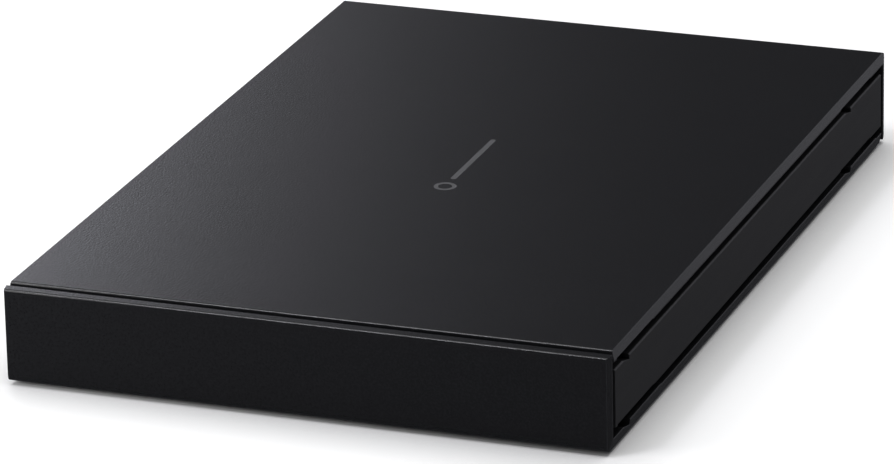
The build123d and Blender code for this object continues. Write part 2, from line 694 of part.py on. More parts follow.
with BuildPart() as spindle_hub:
    with BuildSketch(Plane.XZ):
        with BuildLine():
            Polyline(
                (SHAFT_RADIUS + SHAFT_PLAY, HUB_LOW), (POST_INNER - 0.25, HUB_LOW),
                (POST_INNER - 0.25, DECK + 1.2), (HUB_SKIRT_INNER, DECK + 1.2),
                (HUB_SKIRT_INNER, HUB_LOW + 0.1), (HUB_RADIUS, HUB_LOW + 0.1),
                (HUB_RADIUS, PLATTER_LOW - 0.35), (FLANGE_RADIUS, PLATTER_LOW - 0.35),
                (FLANGE_RADIUS, PLATTER_LOW), (HUB_RADIUS, PLATTER_LOW),
                (HUB_RADIUS, HUB_TOP - 0.05), (SHAFT_RADIUS + SHAFT_PLAY, HUB_TOP - 0.05),
                close=True,
            )
        make_face()
    revolve(axis=Axis.Z)
    with BuildSketch(Plane.XY.offset(HUB_TOP)):
        with PolarLocations(CLAMP_SCREW_CIRCLE, 6):
            Circle(0.5)
    extrude(amount=-1.2, mode=Mode.SUBTRACT)
hub_at_spindle = spindle_hub.part.moved(Location((SPINDLE[0], SPINDLE[1], 0)))

rotor_magnet = ring(SPINDLE, MAGNET_INNER, HUB_SKIRT_INNER, HUB_LOW + 0.2, DECK + 1.1)

with BuildPart() as stator_core:
    with BuildSketch(Plane.XY.offset(STATOR_LOW)):
        with Locations(SPINDLE):
            Circle(POST_OUTER + 0.9)
            with PolarLocations(6.2, TEETH):
                Rectangle(3.8, 1.0)
            with PolarLocations(8.0, TEETH):
                Rectangle(0.7, 3.2)
        with Locations(SPINDLE):
            Circle(POST_OUTER, mode=Mode.SUBTRACT)
    extrude(amount=STATOR_HIGH - STATOR_LOW)

with BuildPart() as stator_coils:
    with BuildSketch(Plane.XY.offset(STATOR_LOW - 0.25)):
        with Locations(SPINDLE):
            with PolarLocations(6.1, TEETH):
                Rectangle(2.6, 1.8)
    extrude(amount=STATOR_HIGH - STATOR_LOW + 0.5)
    add(stator_core.part, mode=Mode.SUBTRACT)

platter_lower = ring(SPINDLE, PLATTER_BORE, PLATTER_RADIUS, PLATTER_LOW, PLATTER_LOW + PLATTER_THICK)
platter_spacer = ring(SPINDLE, PLATTER_BORE, 12.0, PLATTER_LOW + PLATTER_THICK, PLATTER_UP)
platter_upper = ring(SPINDLE, PLATTER_BORE, PLATTER_RADIUS, PLATTER_UP, CLAMP_LOW)

with BuildPart() as disc_clamp:
    with BuildSketch(Plane.XY.offset(CLAMP_LOW)):
        with Locations(SPINDLE):
            Circle(12.4)
            Circle(3.2, mode=Mode.SUBTRACT)
            with PolarLocations(CLAMP_SCREW_CIRCLE, 6):
                Circle(0.5, mode=Mode.SUBTRACT)
            with PolarLocations(9.6, 6, start_angle=30):
                Circle(0.8, mode=Mode.SUBTRACT)
    extrude(amount=0.3)

with BuildPart() as clamp_screws:
    with BuildSketch(Plane.XY.offset(CLAMP_LOW - 1.15)):
        with Locations(SPINDLE):
            with PolarLocations(CLAMP_SCREW_CIRCLE, 6):
                Circle(0.5)
    extrude(amount=1.45)
    with BuildSketch(Plane.XY.offset(CLAMP_LOW + 0.3)):
        with Locations(SPINDLE):
            with PolarLocations(CLAMP_SCREW_CIRCLE, 6):
                Circle(0.95)
    extrude(amount=0.3)

# ---------------------------------------------------------------- actuator
SLEEVE_OUTER = 3.6
ARM_HUB = 5.4
ARM_TIP = 21.5
SLIDER_GAP = 0.05
SPRING_THICK = 0.1
ARM_LAYERS = (                 # low and high face of each arm
    (DECK + 0.08, DECK + 0.26),
    (PLATTER_LOW + PLATTER_THICK + 0.39, PLATTER_UP - 0.39),
    (CLAMP_LOW + 0.31, CLAMP_LOW + 0.51),
)
HEAD_FACES = (                 # where a suspension sits, and which way its head looks
    (ARM_LAYERS[0][1], 1), (ARM_LAYERS[1][0], -1), (ARM_LAYERS[1][1], 1), (ARM_LAYERS[2][0], -1),
)
PLATTER_FACES = (PLATTER_LOW, PLATTER_LOW + PLATTER_THICK, PLATTER_UP, CLAMP_LOW)
TAB_END = ARM_LENGTH + 2.4
COIL_LOW = DECK + 1.4
COIL_HIGH = COIL_LOW + 1.0
COIL_INNER = 7.4
COIL_OUTER = 16.6
COIL_ANGLE = PARK_ANGLE - 180.0
FORK_ANGLE = 3.5


def arm_outline(r_low, half_low, r_high, half_high):
    """A tapered strip along the parked arm, between two distances from the pivot."""
    along = on_arc((0, 0), 1.0, PARK_ANGLE)
    across = (-along[1], along[0])
    corners = [(r_low, half_low), (r_high, half_high), (r_high, -half_high), (r_low, -half_low)]
    with BuildSketch() as outline:
        with BuildLine():
            Polyline(
                *[
                    (PIVOT[0] + r * along[0] + h * across[0], PIVOT[1] + r * along[1] + h * across[1])
                    for r, h in corners
                ],
                close=True,
            )
        make_face()
    return outline.sketch


pivot_shaft = ring(PIVOT, 0, PIVOT_SHAFT_RADIUS, DECK_LOW, BASE_HIGH - 0.25)
pivot_shaft -= ring(PIVOT, 0, 0.6, BASE_HIGH - 1.5, BASE_HIGH)
pivot_sleeve = ring(PIVOT, PIVOT_SHAFT_RADIUS + SHAFT_PLAY, SLEEVE_OUTER, DECK + 0.15, BASE_HIGH - 0.3)
arm_blades = [prism(arm_outline(3.0, 4.4, ARM_TIP, 2.3), low, high) for low, high in ARM_LAYERS]
fork_sides = [
    prism(
        sector(PIVOT, 4.2, COIL_OUTER, COIL_ANGLE + low, COIL_ANGLE + low + FORK_ANGLE),
        COIL_LOW,
        COIL_HIGH,
    )
    for low in (COIL_HALF_ANGLE, -COIL_HALF_ANGLE - FORK_ANGLE)
]
sleeve_bore = ring(PIVOT, 0, SLEEVE_OUTER, DECK, BASE_HIGH)

with BuildPart() as actuator_arm:
    with BuildSketch(Plane.XY.offset(ARM_LAYERS[0][0])):
        with Locations(PIVOT):
            Circle(ARM_HUB)
    extrude(amount=ARM_LAYERS[2][1] - ARM_LAYERS[0][0])
    add(arm_blades)
    add(fork_sides)
    add(sleeve_bore, mode=Mode.SUBTRACT)

coil_start = COIL_ANGLE - COIL_HALF_ANGLE
coil_end = COIL_ANGLE + COIL_HALF_ANGLE
coil_outline = sector(PIVOT, COIL_INNER, COIL_OUTER, coil_start, coil_end)
coil_window = sector(PIVOT, COIL_INNER + 2, COIL_OUTER - 2, COIL_ANGLE - 10, COIL_ANGLE + 10)
voice_coil = prism(coil_outline, COIL_LOW, COIL_HIGH) - prism(coil_window, COIL_LOW - 1, COIL_HIGH + 1)

suspensions = []
head_sliders = []
for (seat, look), face in zip(HEAD_FACES, PLATTER_FACES):
    spring_low, spring_high = sorted((seat, seat + look * SPRING_THICK))
    strip = prism(arm_outline(ARM_TIP - 3.5, 1.9, ARM_LENGTH + 0.6, 0.55), spring_low, spring_high)
    tab = prism(arm_outline(ARM_LENGTH + 0.5, 0.22, TAB_END, 0.22), spring_low, spring_high)
    suspensions.append(strip + tab)
    slider_low, slider_high = sorted((seat + look * SPRING_THICK, face - look * SLIDER_GAP))
    slider_outline = arm_outline(ARM_LENGTH - 0.5, 0.35, ARM_LENGTH + 0.5, 0.35)
    head_sliders.append(prism(slider_outline, slider_low, slider_high))

# ---------------------------------------------------------------- magnets, ramp, stops
YOKE_ANGLES = (-8.0, 69.0)
YOKE_INNER = 6.6
YOKE_OUTER = 18.6
LOWER_YOKE_HIGH = DECK + 0.5
LOWER_MAGNET_HIGH = LOWER_YOKE_HIGH + 0.6
UPPER_YOKE_LOW = BASE_HIGH - 0.55
UPPER_MAGNET_LOW = UPPER_YOKE_LOW - 0.6
POST_ANGLE = 10.0

yoke_plan = sector(PIVOT, YOKE_INNER, YOKE_OUTER, *YOKE_ANGLES)
magnet_plan = sector(PIVOT, COIL_INNER + 0.4, COIL_OUTER - 0.4, YOKE_ANGLES[0] + 3, YOKE_ANGLES[1] - 3)
yoke_posts = [
    prism(
        sector(PIVOT, YOKE_OUTER - 1.0, YOKE_OUTER, start, start + POST_ANGLE),
        LOWER_YOKE_HIGH,
        UPPER_YOKE_LOW,
    )
    for start in (YOKE_ANGLES[0], (sum(YOKE_ANGLES) - POST_ANGLE) / 2, YOKE_ANGLES[1] - POST_ANGLE)
]
lower_yoke = prism(yoke_plan, DECK, LOWER_YOKE_HIGH)
upper_yoke = prism(yoke_plan, UPPER_YOKE_LOW, BASE_HIGH - 0.05) + yoke_posts
coil_magnets = [
    prism(magnet_plan, LOWER_YOKE_HIGH, LOWER_MAGNET_HIGH),
    prism(magnet_plan, UPPER_MAGNET_LOW, UPPER_YOKE_LOW),
]
crash_stops = [ring(on_arc(PIVOT, 12.0, angle), 0, 1.0, DECK, COIL_HIGH + 0.4) for angle in (-16.5, 78.0)]

# The ramp lifts each suspension's tab clear of the platters; the tabs slide in from its open side
ramp_outline = sector(PIVOT, ARM_LENGTH + 1.2, TAB_END + 1.3, PARK_ANGLE - 3, PARK_ANGLE + 4)
ramp_body = prism(ramp_outline, DECK, CLAMP_LOW + 0.6)
ramp_slots = [
    prism(
        sector(PIVOT, ARM_LENGTH, TAB_END + 0.3, PARK_ANGLE - 2, PARK_ANGLE + 6),
        min(seat, seat + look * SPRING_THICK) - 0.06,
        max(seat, seat + look * SPRING_THICK) + 0.06,
    )
    for seat, look in HEAD_FACES
]
load_ramp = ramp_body - ring(SPINDLE, 0, PLATTER_RADIUS + 0.3, DECK, BASE_HIGH) - ramp_slots

# ---------------------------------------------------------------- flex cable and filters
FLEX_POINTS = [(9.0, 25.3), (3.5, 31.0), (-4.0, 32.4), (-7.0, 33.0)]

with BuildPart() as flex_cable:
    with BuildSketch(Plane.XY.offset(DECK + 0.9)):
        with BuildLine() as flex_route:
            Spline(*FLEX_POINTS)
        trace(flex_route.line, line_width=0.16)
    extrude(amount=2.4)

flex_bracket = block(-12.0, -7.1, 30.0, 36.0, DECK, DECK + 3.4)
recirculation_filter = block(-30.0, -28.2, 12.0, 22.0, DECK, DECK + 3.2)
desiccant_pack = block(-28.0, -16.5, 31.0, 38.6, DECK, DECK + 3.0)

# ---------------------------------------------------------------- drive electronics
with BuildPart() as drive_board:
    with BuildSketch(Plane.XY.offset(PCB_LOW)):
        with Locations(((PCB_BOX[0] + PCB_BOX[1]) / 2, (PCB_BOX[2] + PCB_BOX[3]) / 2)):
            Rectangle(PCB_BOX[1] - PCB_BOX[0], PCB_BOX[3] - PCB_BOX[2])
        with Locations(*[(x, y) for x in (-26.0, 26.0) for y in (-0.5, 38.5)]):
            Circle(0.7, mode=Mode.SUBTRACT)
    extrude(amount=PCB_THICK)

drive_chips = [
    block(x, x + w, y, y + d, PCB_HIGH, PCB_HIGH + 0.5)
    for x, y, w, d in (
        (-6.0, 16.0, 10.0, 10.0), (-20.0, 20.0, 8.0, 6.0), (-4.0, 3.0, 7.0, 7.0), (10.0, 30.0, 5.0, 4.0),
    )
]
insulator_sheet = block(-28.0, 28.0, -2.6, 40.5, DECK_LOW - 0.22, DECK_LOW)

with BuildPart() as drive_plug:
    with Locations((SATA_X, 42.9, (PCB_HIGH + SATA_Z + 1.4) / 2)):
        Box(40.0, 1.6, SATA_Z + 1.4 - PCB_HIGH)
    for centre, count in SATA_GROUPS:
        with Locations((SATA_X + centre, (43.7 + DRIVE_REAR - 0.2) / 2, SATA_Z)):
            Box(tongue_width(count), DRIVE_REAR - 0.2 - 43.7, TONGUE_THICK)

# ---------------------------------------------------------------- write every piece
PIECES = {
    "top_cover": top_cover.part,
    "bottom_cover": bottom_cover.part,
    "inner_frame": inner_frame.part,
    "printed_mark": printed_mark,
    "rubber_feet": rubber_feet.part,
    "damper_pads": Compound(children=damper_pads),
    "light_pipe": light_pipe.part,
    "bridge_board": bridge_board.part,
    "board_screws": board_screws.part,
    "usb_socket_shell": usb_socket_shell.part,
    "usb_socket_tongue": usb_socket_tongue.part,
    "usb_socket_contacts": Compound(children=usb_socket_contacts),
    "drive_socket": drive_socket.part,
    "drive_socket_contacts": Compound(children=drive_socket_contacts),
    "bridge_chip": bridge_chip,
    "board_crystal": board_crystal,
    "status_lamp": status_lamp,
    "board_small_parts": Compound(children=board_small_parts),
    "drive_base": drive_base.part,
    "lid_gasket": lid_gasket.part,
    "drive_lid": drive_lid.part,
    "lid_screws": lid_screws.part,
    "spindle_shaft": spindle_shaft,
    "spindle_hub": hub_at_spindle,
    "rotor_magnet": rotor_magnet,
    "stator_core": stator_core.part,
    "stator_coils": stator_coils.part,
    "platter_lower": platter_lower,
    "platter_spacer": platter_spacer,
    "platter_upper": platter_upper,
    "disc_clamp": disc_clamp.part,
    "clamp_screws": clamp_screws.part,
    "pivot_shaft": pivot_shaft,
    "pivot_sleeve": pivot_sleeve,
    "actuator_arm": actuator_arm.part,
    "voice_coil": voice_coil,
    "suspensions": Compound(children=suspensions),
    "head_sliders": Compound(children=head_sliders),
    "lower_yoke": lower_yoke,
    "upper_yoke": upper_yoke,
    "coil_magnets": Compound(children=coil_magnets),
    "crash_stops": Compound(children=crash_stops),
    "load_ramp": load_ramp,
    "flex_cable": flex_cable.part,
    "flex_bracket": flex_bracket,
    "recirculation_filter": recirculation_filter,
    "desiccant_pack": desiccant_pack,
    "drive_board": drive_board.part,
    "drive_chips": Compound(children=drive_chips),
    "insulator_sheet": insulator_sheet,
    "drive_plug": drive_plug.part,
}
for label, piece in PIECES.items():
    keep(piece, label)
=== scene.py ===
"""Looks of a slim portable external hard drive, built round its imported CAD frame.

Blender 4.5. Metres, +X right, +Y towards the socket end, +Z up.
"""

import json
from math import cos, radians, sin

import bpy
from mathutils import Matrix, Vector


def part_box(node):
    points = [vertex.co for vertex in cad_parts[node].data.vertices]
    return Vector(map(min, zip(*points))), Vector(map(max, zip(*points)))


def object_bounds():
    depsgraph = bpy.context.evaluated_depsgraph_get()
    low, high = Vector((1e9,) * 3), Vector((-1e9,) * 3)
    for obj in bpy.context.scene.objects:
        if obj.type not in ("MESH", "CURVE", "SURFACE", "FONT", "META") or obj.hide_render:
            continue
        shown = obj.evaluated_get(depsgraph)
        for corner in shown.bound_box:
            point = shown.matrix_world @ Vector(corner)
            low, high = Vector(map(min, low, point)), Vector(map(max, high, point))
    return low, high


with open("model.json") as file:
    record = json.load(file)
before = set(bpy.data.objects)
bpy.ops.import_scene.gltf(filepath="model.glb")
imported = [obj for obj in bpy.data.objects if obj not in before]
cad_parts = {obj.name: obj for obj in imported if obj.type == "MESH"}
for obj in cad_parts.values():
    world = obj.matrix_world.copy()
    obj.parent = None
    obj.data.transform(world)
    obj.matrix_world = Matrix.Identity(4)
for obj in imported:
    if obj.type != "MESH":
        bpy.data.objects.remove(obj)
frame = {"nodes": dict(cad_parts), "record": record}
cad_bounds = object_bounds()

MM = 0.001
NODES = frame["nodes"]
COLOURS = {m["slot"]: m["base_color"] for m in frame["record"]["materials"]}
SLOT_OF = {s["node"]: s["material_slot"] for s in frame["record"]["subparts"]}


# ---------------------------------------------------------------- node helpers
class Shader:
    """A material's node tree, with short calls for the nodes that the finishes share."""

    def __init__(self, name):
        self.material = bpy.data.materials.new(name)
        self.material.use_nodes = True
        self.tree = self.material.node_tree
        self.surface = self.tree.nodes["Principled BSDF"]
        self.place = self.node("ShaderNodeTexCoord").outputs["Object"]

    def node(self, kind, **settings):
        made = self.tree.nodes.new(kind)
        for key, value in settings.items():
            setattr(made, key, value)
        return made

    def link(self, source, target):
        self.tree.links.new(source, target)

    def set(self, **values):
        """Constants on the surface's own sockets: names are given with _ for a space."""
        for key, value in values.items():
            self.surface.inputs[key.replace("_", " ")].default_value = value

    def stretched(self, scale):
        """Object coordinates stretched along each axis."""
        mapping = self.node("ShaderNodeMapping")
        mapping.inputs["Scale"].default_value = scale
        self.link(self.place, mapping.inputs["Vector"])
        return mapping.outputs["Vector"]

    def noise(self, size, detail=2.0, roughness=0.5, stretch=None, distortion=0.0):
        """Noise whose features are about size metres across."""
        made = self.node("ShaderNodeTexNoise")
        made.inputs["Scale"].default_value = 1.0 / size
        made.inputs["Detail"].default_value = detail
        made.inputs["Roughness"].default_value = roughness
        made.inputs["Distortion"].default_value = distortion
        self.link(self.stretched(stretch) if stretch else self.place, made.inputs["Vector"])
        return made.outputs["Fac"]

    def cells(self, size):
        """Round cells about size metres across."""
        made = self.node("ShaderNodeTexVoronoi", feature="F1")
        made.inputs["Scale"].default_value = 1.0 / size
        self.link(self.place, made.inputs["Vector"])
        return made.outputs["Distance"]

    def spread(self, source, low, high, from_low=0.3, from_high=0.7):
        """A 0 to 1 source mapped to a range of numbers."""
        made = self.node("ShaderNodeMapRange")
        made.inputs["From Min"].default_value = from_low
        made.inputs["From Max"].default_value = from_high
        made.inputs["To Min"].default_value = low
        made.inputs["To Max"].default_value = high
        self.link(source, made.inputs["Value"])
        return made.outputs["Result"]

    def maths(self, operation, first, second):
        """One sum on two values, each a number or a socket."""
        made = self.node("ShaderNodeMath", operation=operation)
        for socket, value in zip(made.inputs, (first, second)):
            if isinstance(value, (int, float)):
                socket.default_value = value
            else:
                self.link(value, socket)
        return made.outputs["Value"]

    def mix(self, factor, first, second):
        """Blends two colours, each a list of three numbers or a socket."""
        made = self.node("ShaderNodeMix", data_type="RGBA")
        self.link(factor, made.inputs["Factor"])
        for socket, value in zip((made.inputs["A"], made.inputs["B"]), (first, second)):
            if isinstance(value, (list, tuple)):
                socket.default_value = (*value[:3], 1.0)
            else:
                self.link(value, socket)
        return made.outputs["Result"]

    def bump(self, height, depth, normal=None):
        """The normal with relief of depth metres, on top of the normal given."""
        made = self.node("ShaderNodeBump")
        made.inputs["Strength"].default_value = 1.0
        made.inputs["Distance"].default_value = depth
        self.link(height, made.inputs["Height"])
        if normal:
            self.link(normal, made.inputs["Normal"])
        return made.outputs["Normal"]

    def soft_edges(self, radius):
        """The normal with its edges rounded by radius."""
        made = self.node("ShaderNodeBevel", samples=6)
        made.inputs["Radius"].default_value = radius
        return made.outputs["Normal"]

    def edge_mask(self, radius, gain):
        """1 along edges and corners, 0 on flats."""
        flat = self.node("ShaderNodeNewGeometry").outputs["Normal"]
        made = self.node("ShaderNodeVectorMath", operation="DOT_PRODUCT")
        self.link(self.soft_edges(radius), made.inputs[0])
        self.link(flat, made.inputs[1])
        turned = self.maths("SUBTRACT", 1.0, made.outputs["Value"])
        grown = self.node("ShaderNodeMath", operation="MULTIPLY", use_clamp=True)
        self.link(turned, grown.inputs[0])
        grown.inputs[1].default_value = gain
        return grown.outputs["Value"]

    def finish(self, colour, roughness, normal=None):
        """Joins the results to the surface and gives back the material."""
        self.link(colour, self.surface.inputs["Base Color"])
        self.link(roughness, self.surface.inputs["Roughness"])
        if normal:
            self.link(normal, self.surface.inputs["Normal"])
        return self.material


def shade(colour, factor):
    """A colour made lighter or darker."""
    return [channel * factor for channel in colour[:3]]


# ---------------------------------------------------------------- finishes
def textured_cover(slot):
    """Spark-eroded mould texture on dark plastic: fine speckle, faint blotches, and lighter edges that
    are partly rubbing and partly painted highlight.
    """
    s = Shader(slot)
    tone = COLOURS[slot]
    grain = s.noise(0.30 * MM, detail=3.0, roughness=0.62)
    blotch = s.noise(9 * MM, detail=4.0)
    fleck = s.spread(grain, 0.0, 1.0, 0.42, 0.72)
    colour = s.mix(fleck, shade(tone, 0.82), shade(tone, 1.2))
    rubbing = s.spread(s.noise(1.4 * MM, detail=5.0), 0.35, 1.0)
    # Lighter along the edges: partly rubbing, partly painted highlight.
    edge_wear_and_highlight = s.maths("MULTIPLY", s.edge_mask(0.22 * MM, 5.0), rubbing)
    colour = s.mix(edge_wear_and_highlight, colour, shade(tone, 2.6))
    rough = s.maths("ADD", s.spread(grain, -0.02, 0.03), s.spread(blotch, 0.12, 0.14))
    rough = s.maths("SUBTRACT", rough, s.maths("MULTIPLY", edge_wear_and_highlight, 0.10))
    normal = s.bump(grain, 0.014 * MM, normal=s.soft_edges(0.08 * MM))
    s.set(Specular_IOR_Level=0.35)
    return s.finish(colour, rough, normal)


def satin_frame(slot):
    """Smooth satin moulding with faint flow lines along its length."""
    s = Shader(slot)
    tone = COLOURS[slot]
    flow = s.noise(2.2 * MM, detail=3.0, stretch=(1.0, 0.12, 1.0))
    fine = s.noise(0.18 * MM, detail=2.0)
    # Lighter along every edge: painted highlight.
    edge_wear_and_highlight = s.edge_mask(0.16 * MM, 4.0)
    colour = s.mix(s.spread(flow, 0.0, 1.0), shade(tone, 0.92), shade(tone, 1.08))
    colour = s.mix(edge_wear_and_highlight, colour, shade(tone, 2.4))
    rough = s.maths("ADD", s.spread(flow, -0.03, 0.03), s.spread(fine, 0.42, 0.48))
    normal = s.bump(fine, 0.006 * MM, normal=s.soft_edges(0.10 * MM))
    s.set(Specular_IOR_Level=0.35)
    return s.finish(colour, rough, normal)


def plain_moulding(slot, rough_low=0.42, rough_high=0.55, level=0.4):
    """Small moulded parts: fine matte skin, with edges lightened as a painted highlight."""
    s = Shader(slot)
    tone = COLOURS[slot]
    fine = s.noise(0.15 * MM, detail=3.0)
    broad = s.noise(2.5 * MM, detail=3.0)
    colour = s.mix(s.spread(broad, 0.0, 1.0), shade(tone, 0.88), shade(tone, 1.12))
    # Lighter along every edge: painted highlight.
    colour = s.mix(s.edge_mask(0.08 * MM, 2.5), colour, shade(tone, 1.8))
    normal = s.bump(fine, 0.006 * MM, normal=s.soft_edges(0.05 * MM))
    s.set(Specular_IOR_Level=level)
    return s.finish(colour, s.spread(fine, rough_low, rough_high), normal)


def pad_print(slot):
    """Thin grey ink: slightly uneven, with pinholes."""
    s = Shader(slot)
    tone = COLOURS[slot]
    thin = s.noise(0.35 * MM, detail=4.0, roughness=0.7)
    colour = s.mix(s.spread(thin, 0.0, 1.0, 0.25, 0.6), shade(tone, 0.55), shade(tone, 1.05))
    s.set(Specular_IOR_Level=0.35)
    return s.finish(colour, s.spread(thin, 0.5, 0.62), s.bump(thin, 0.01 * MM))


def rubber(slot):
    """Soft rubber: matte, with a fine skin and a dusty bloom."""
    s = Shader(slot)
    tone = COLOURS[slot]
    fine = s.noise(0.22 * MM, detail=4.0, roughness=0.65)
    bloom = s.noise(3.0 * MM, detail=4.0)
    colour = s.mix(s.spread(bloom, 0.0, 1.0), shade(tone, 0.85), shade(tone, 1.5))
    s.set(Specular_IOR_Level=0.25)
    normal = s.bump(fine, 0.02 * MM, normal=s.soft_edges(0.1 * MM))
    return s.finish(colour, s.spread(fine, 0.72, 0.88), normal)


def foam(slot):
    """Closed-cell foam: small round cells, darkened towards their sunken middles as painted shade."""
    s = Shader(slot)
    tone = COLOURS[slot]
    cells = s.cells(0.28 * MM)
    # Darker towards each cell's middle, where the bump sinks it: painted shade in the pits.
    colour = s.mix(s.spread(cells, 0.0, 1.0, 0.1, 0.6), shade(tone, 0.6), shade(tone, 1.3))
    s.set(Specular_IOR_Level=0.15)
    return s.finish(colour, s.spread(cells, 0.85, 0.95), s.bump(cells, 0.05 * MM))


def metal(slot, size, stretch=None, rough=(0.28, 0.4), depth=0.004, edge_wear_and_highlight_gain=1.25):
    """Bare metal: brushing or casting grain by size and stretch, with brighter edges that are partly
    rubbing and partly painted highlight.
    """
    s = Shader(slot)
    tone = COLOURS[slot]
    grain = s.noise(size, detail=4.0, roughness=0.6, stretch=stretch)
    smear = s.noise(6 * MM, detail=3.0)
    colour = s.mix(s.spread(grain, 0.0, 1.0), shade(tone, 0.86), shade(tone, 1.08))
    colour = s.mix(s.spread(smear, 0.0, 0.35), colour, shade(tone, 0.8))
    # Brighter along every edge: partly rubbing, partly painted highlight.
    colour = s.mix(s.edge_mask(0.08 * MM, 2.0), colour, [min(1.0, c * edge_wear_and_highlight_gain) for c in tone[:3]])
    s.set(Metallic=1.0)
    normal = s.bump(grain, depth * MM, normal=s.soft_edges(0.05 * MM))
    return s.finish(colour, s.spread(grain, *rough), normal)


def turned_metal(slot, centre, pitch, rough):
    """Metal turned or polished round a vertical axis: fine rings about its centre."""
    s = Shader(slot)
    tone = COLOURS[slot]
    offset = s.node("ShaderNodeVectorMath", operation="SUBTRACT")
    s.link(s.place, offset.inputs[0])
    offset.inputs[1].default_value = (centre[0], centre[1], 0.0)
    rings = s.node("ShaderNodeTexWave", wave_type="RINGS", rings_direction="Z")
    rings.inputs["Scale"].default_value = 1.0 / pitch
    rings.inputs["Distortion"].default_value = 0.6
    rings.inputs["Detail"].default_value = 2.0
    s.link(offset.outputs["Vector"], rings.inputs["Vector"])
    smear = s.noise(5 * MM, detail=3.0)
    colour = s.mix(s.spread(smear, 0.0, 1.0), shade(tone, 0.94), shade(tone, 1.04))
    s.set(Metallic=1.0)
    ring = rings.outputs["Fac"]
    return s.finish(colour, s.spread(ring, *rough, 0.0, 1.0), s.bump(ring, 0.0015 * MM))


def circuit_board(slot):
    """Solder resist over copper tracks: darker gaps between raised, lighter tracks."""
    s = Shader(slot)
    tone = COLOURS[slot]
    tracks = s.node("ShaderNodeTexBrick", offset=0.37, squash=1.6, squash_frequency=3)
    tracks.inputs["Scale"].default_value = 1.0 / (3.2 * MM)
    tracks.inputs["Mortar Size"].default_value = 0.035
    tracks.inputs["Color1"].default_value = (*shade(tone, 0.85), 1.0)
    tracks.inputs["Color2"].default_value = (*shade(tone, 1.15), 1.0)
    tracks.inputs["Mortar"].default_value = (*shade(tone, 2.0), 1.0)
    s.link(s.place, tracks.inputs["Vector"])
    fine = s.noise(0.3 * MM, detail=3.0)
    s.set(Specular_IOR_Level=0.5, Coat_Weight=0.3, Coat_Roughness=0.2)
    normal = s.bump(tracks.outputs["Fac"], 0.03 * MM)
    return s.finish(tracks.outputs["Color"], s.spread(fine, 0.28, 0.4), normal)


def wound_copper(slot):
    """Enamelled wire laid side by side, with painted shade in the grooves between wires."""
    s = Shader(slot)
    tone = COLOURS[slot]
    wires = s.node("ShaderNodeTexWave", wave_type="BANDS", bands_direction="DIAGONAL")
    wires.inputs["Scale"].default_value = 1.0 / (0.5 * MM)
    wires.inputs["Distortion"].default_value = 1.5
    s.link(s.place, wires.inputs["Vector"])
    # Darker in the grooves between wires, where the bump sinks: painted shade.
    colour = s.mix(wires.outputs["Fac"], shade(tone, 0.55), shade(tone, 1.1))
    s.set(Metallic=0.9, Coat_Weight=0.4, Coat_Roughness=0.15)
    wire = wires.outputs["Fac"]
    return s.finish(colour, s.spread(wire, 0.25, 0.4, 0.0, 1.0), s.bump(wire, 0.04 * MM))


def felt(slot):
    """Pressed white fibres."""
    s = Shader(slot)
    tone = COLOURS[slot]
    fibre = s.noise(0.25 * MM, detail=6.0, roughness=0.75, distortion=1.5)
    colour = s.mix(s.spread(fibre, 0.0, 1.0), shade(tone, 0.7), shade(tone, 1.05))
    s.set(Specular_IOR_Level=0.1, Sheen_Weight=0.3)
    return s.finish(colour, s.spread(fibre, 0.9, 1.0), s.bump(fibre, 0.08 * MM))


def frosted_clear(slot):
    """Frosted clear resin of the lamp's light pipe."""
    s = Shader(slot)
    tone = COLOURS[slot]
    fine = s.noise(0.12 * MM, detail=3.0)
    colour = s.mix(s.spread(fine, 0.0, 1.0), shade(tone, 0.9), shade(tone, 1.0))
    s.set(Transmission_Weight=0.75, IOR=1.49)
    return s.finish(colour, s.spread(fine, 0.22, 0.38), s.bump(fine, 0.008 * MM))


def glossy_film(slot):
    """Amber film or clear resin with a shiny skin."""
    s = Shader(slot)
    tone = COLOURS[slot]
    cloud = s.noise(1.2 * MM, detail=3.0)
    colour = s.mix(s.spread(cloud, 0.0, 1.0), shade(tone, 0.8), shade(tone, 1.15))
    s.set(Specular_IOR_Level=0.5, Coat_Weight=0.5, Coat_Roughness=0.08)
    return s.finish(colour, s.spread(cloud, 0.2, 0.32), s.bump(cloud, 0.01 * MM))


def middle(node):
    low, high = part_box(node)
    return (low + high) / 2


